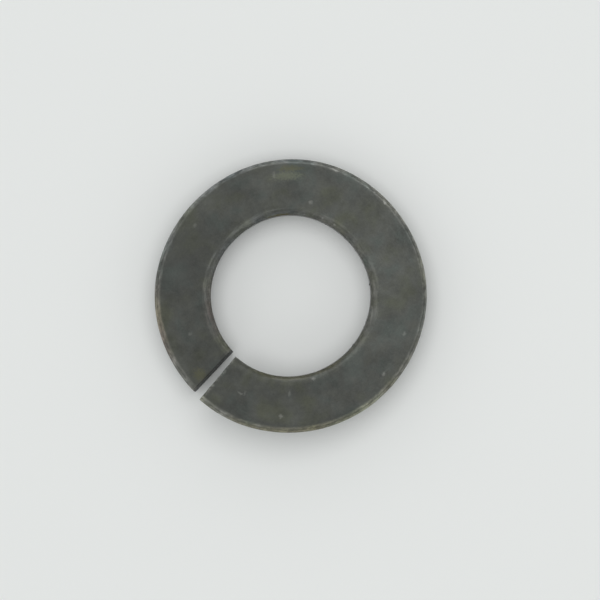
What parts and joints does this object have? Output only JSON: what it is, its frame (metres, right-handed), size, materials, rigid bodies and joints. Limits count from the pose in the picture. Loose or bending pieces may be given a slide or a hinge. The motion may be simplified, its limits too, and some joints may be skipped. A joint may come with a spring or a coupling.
{
  "type": "spring lock washer",
  "caption": "Spring lock washer: a flat steel ring cut through and set as a low left-hand coil, with squarish section and slightly rounded corners.",
  "frame": {"origin": "on the washer's axis, level with the underside of the low end", "axes": "+Z along the axis, from the low end to the high end; the slot faces -Y, with the high end on its +X side"},
  "size_m": [0.0144, 0.0144, 0.0042],
  "materials": {
    "steel": "hardened steel, oil-blackened, dark grey and slightly satin"
  },
  "bodies": {
    "root": {"ring": "steel"}
  },
  "joints": []
}
